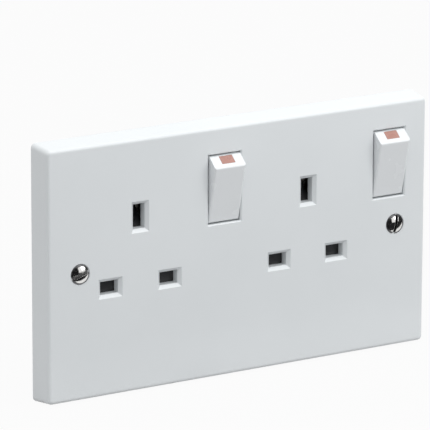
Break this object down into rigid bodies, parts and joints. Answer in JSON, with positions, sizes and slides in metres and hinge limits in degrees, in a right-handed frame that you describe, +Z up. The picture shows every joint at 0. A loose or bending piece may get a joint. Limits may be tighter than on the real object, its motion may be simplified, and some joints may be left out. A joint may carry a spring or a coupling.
{
  "type": "twin switched wall socket",
  "caption": "White double wall socket plate with rectangular three-pin apertures, a rocker switch beside each outlet and a screw at each end.",
  "frame": {"origin": "middle of the plate on the wall plane, between the two fixing screws", "axes": "+X to the viewer's right along the plate, +Y into the wall, +Z up"},
  "size_m": [0.146, 0.0297, 0.086],
  "materials": {
    "plate_white": "satin moulded",
    "rocker_white": "gloss moulded",
    "window_red": "dull, slightly translucent",
    "rear_white": "matt moulded",
    "dark_nylon": "matt",
    "copper_alloy": "stamped, bright",
    "brass": "machined, bright",
    "nickel_plate": "bright nickel plate",
    "spring_steel": "drawn"
  },
  "bodies": {
    "root": {"front_plate": "plate_white", "rear_housing": "rear_white", "live_clip_left": "copper_alloy", "live_clip_right": "copper_alloy", "live_feed_bar": "copper_alloy", "neutral_bar": "brass", "earth_bar": "brass", "live_terminal": "brass", "neutral_terminal": "brass", "earth_terminal_left": "brass", "earth_terminal_right": "brass", "live_terminal_screw": "nickel_plate", "neutral_terminal_screw": "nickel_plate", "earth_terminal_screws": "nickel_plate", "shutter_spring_left": "spring_steel", "shutter_spring_right": "spring_steel", "fixing_screw_left": "nickel_plate", "fixing_screw_right": "nickel_plate", "housing_screws": "spring_steel"},
    "rocker_left": {"rocker_left": "rocker_white", "rocker_window_left": "window_red"},
    "plunger_left": {"plunger_left": "dark_nylon", "plunger_spring_left": "spring_steel"},
    "contact_left": {"moving_contact_left": "copper_alloy"},
    "shutter_left": {"shutter_left": "dark_nylon"},
    "rocker_right": {"rocker_right": "rocker_white", "rocker_window_right": "window_red"},
    "plunger_right": {"plunger_right": "dark_nylon", "plunger_spring_right": "spring_steel"},
    "contact_right": {"moving_contact_right": "copper_alloy"},
    "shutter_right": {"shutter_right": "dark_nylon"}
  },
  "joints": [
    {"name": "rocker_left_tilt", "type": "hinge", "parent": "root", "child": "rocker_left", "pos_m": [-0.0062, -0.0065, 0.0213], "axis": [1, 0, 0], "range_deg": [-26, 0]},
    {"name": "contact_left_rock", "type": "hinge", "parent": "root", "child": "contact_left", "pos_m": [-0.0062, 0.002, 0.0213], "axis": [1, 0, 0], "range_deg": [0, 12]},
    {"name": "plunger_left_slide", "type": "slide", "parent": "rocker_left", "child": "plunger_left", "axis": [0, -0.9744, -0.225], "range_m": [0, 0.0008], "stiffness_N_per_m": 400, "springref_m": -0.002},
    {"name": "shutter_left_slide", "type": "slide", "parent": "root", "child": "shutter_left", "axis": [0, 0, -1], "range_m": [0, 0.0058], "stiffness_N_per_m": 60, "springref_m": -0.006, "deforming": ["shutter_spring_left"]},
    {"name": "rocker_right_tilt", "type": "hinge", "parent": "root", "child": "rocker_right", "pos_m": [0.0577, -0.0065, 0.0213], "axis": [1, 0, 0], "range_deg": [-26, 0]},
    {"name": "contact_right_rock", "type": "hinge", "parent": "root", "child": "contact_right", "pos_m": [0.0577, 0.002, 0.0213], "axis": [1, 0, 0], "range_deg": [0, 12]},
    {"name": "plunger_right_slide", "type": "slide", "parent": "rocker_right", "child": "plunger_right", "axis": [0, -0.9744, -0.225], "range_m": [0, 0.0008], "stiffness_N_per_m": 400, "springref_m": -0.002},
    {"name": "shutter_right_slide", "type": "slide", "parent": "root", "child": "shutter_right", "axis": [0, 0, -1], "range_m": [0, 0.0058], "stiffness_N_per_m": 60, "springref_m": -0.006, "deforming": ["shutter_spring_right"]}
  ],
  "couplings": [
    {"joint": "contact_left_rock", "follows": "rocker_left_tilt", "ratio": -0.46154},
    {"joint": "contact_right_rock", "follows": "rocker_right_tilt", "ratio": -0.46154}
  ]
}
